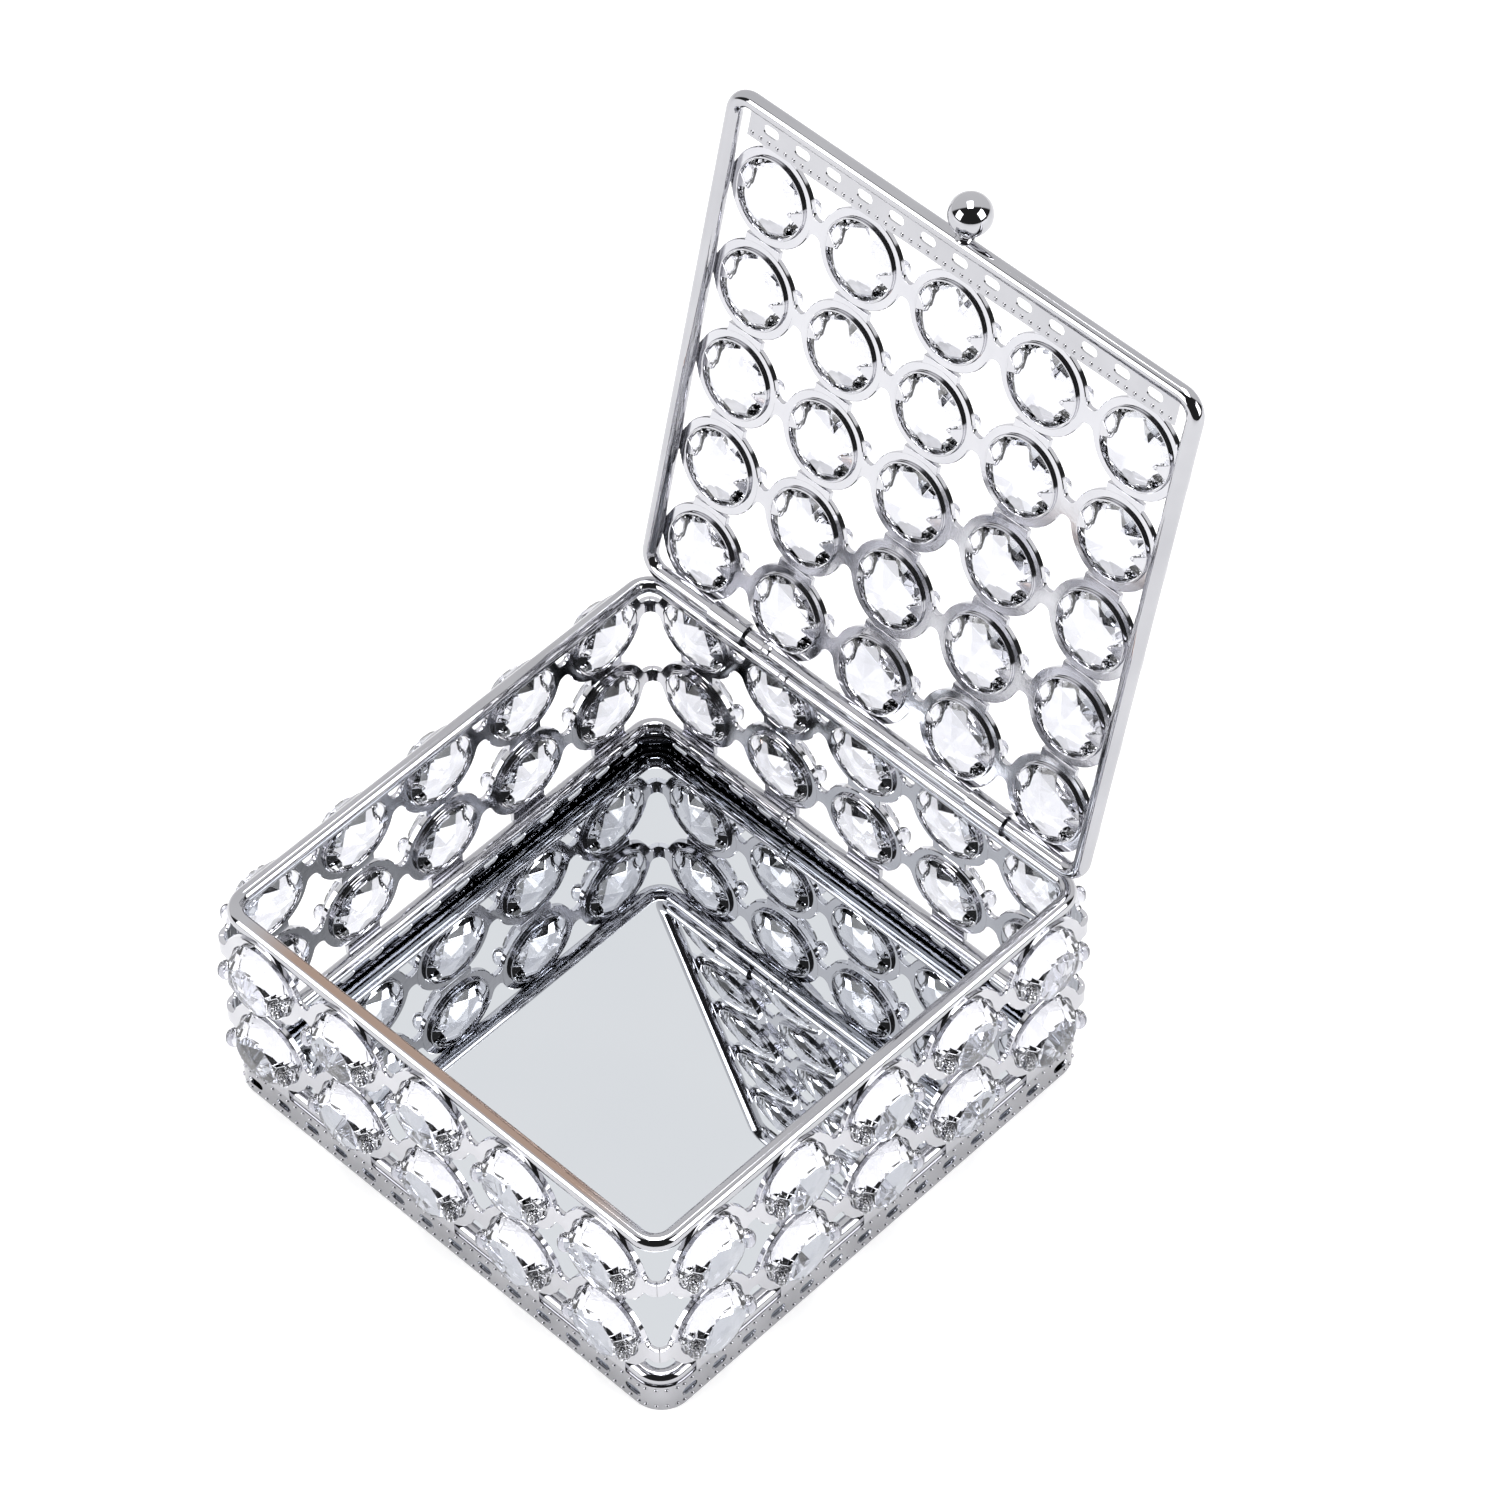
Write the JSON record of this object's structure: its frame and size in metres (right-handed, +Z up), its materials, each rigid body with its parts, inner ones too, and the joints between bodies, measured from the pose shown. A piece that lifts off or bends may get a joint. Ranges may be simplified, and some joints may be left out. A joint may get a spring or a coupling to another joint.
{
  "type": "trinket box",
  "caption": "Square trinket box with a hinged lid: chrome wire frame, faceted crystals set in collars, mirrored base and ball knob.",
  "frame": {"origin": "centre of the base, on the table", "axes": "+Z up, +X to the right along the front wall, +Y towards the hinged back wall; drawn with the lid open"},
  "size_m": [0.1124, 0.1356, 0.1559],
  "materials": {
    "chrome": "bright plated",
    "crystal": "polished",
    "mirror": "polished",
    "backing": "matte"
  },
  "bodies": {
    "box": {"rim_wire": "chrome", "base_wire": "chrome", "base_gallery_strip": "chrome", "base_mirror": "mirror", "base_backing": "backing", "left_hinge_knuckle": "chrome", "right_hinge_knuckle": "chrome", "front_collars_upper": "chrome", "front_collars_lower": "chrome", "right_collars_upper": "chrome", "right_collars_lower": "chrome", "back_collars_upper": "chrome", "back_collars_lower": "chrome", "left_collars_upper": "chrome", "left_collars_lower": "chrome", "front_crystals_upper": "crystal", "front_crystals_lower": "crystal", "right_crystals_upper": "crystal", "right_crystals_lower": "crystal", "back_crystals_upper": "crystal", "back_crystals_lower": "crystal", "left_crystals_upper": "crystal", "left_crystals_lower": "crystal"},
    "lid": {"lid_frame": "chrome", "lid_gallery_strip": "chrome", "knob_stem": "chrome", "knob_ball": "chrome", "lid_collars_row_1": "chrome", "lid_collars_row_2": "chrome", "lid_collars_row_3": "chrome", "lid_collars_row_4": "chrome", "lid_collars_row_5": "chrome", "lid_crystals_row_1": "crystal", "lid_crystals_row_2": "crystal", "lid_crystals_row_3": "crystal", "lid_crystals_row_4": "crystal", "lid_crystals_row_5": "crystal"}
  },
  "joints": [
    {"name": "lid_hinge", "type": "hinge", "parent": "box", "child": "lid", "pos_m": [0, 0.05, 0.0492], "axis": [1, 0, 0], "range_deg": [0, 104.3]}
  ]
}
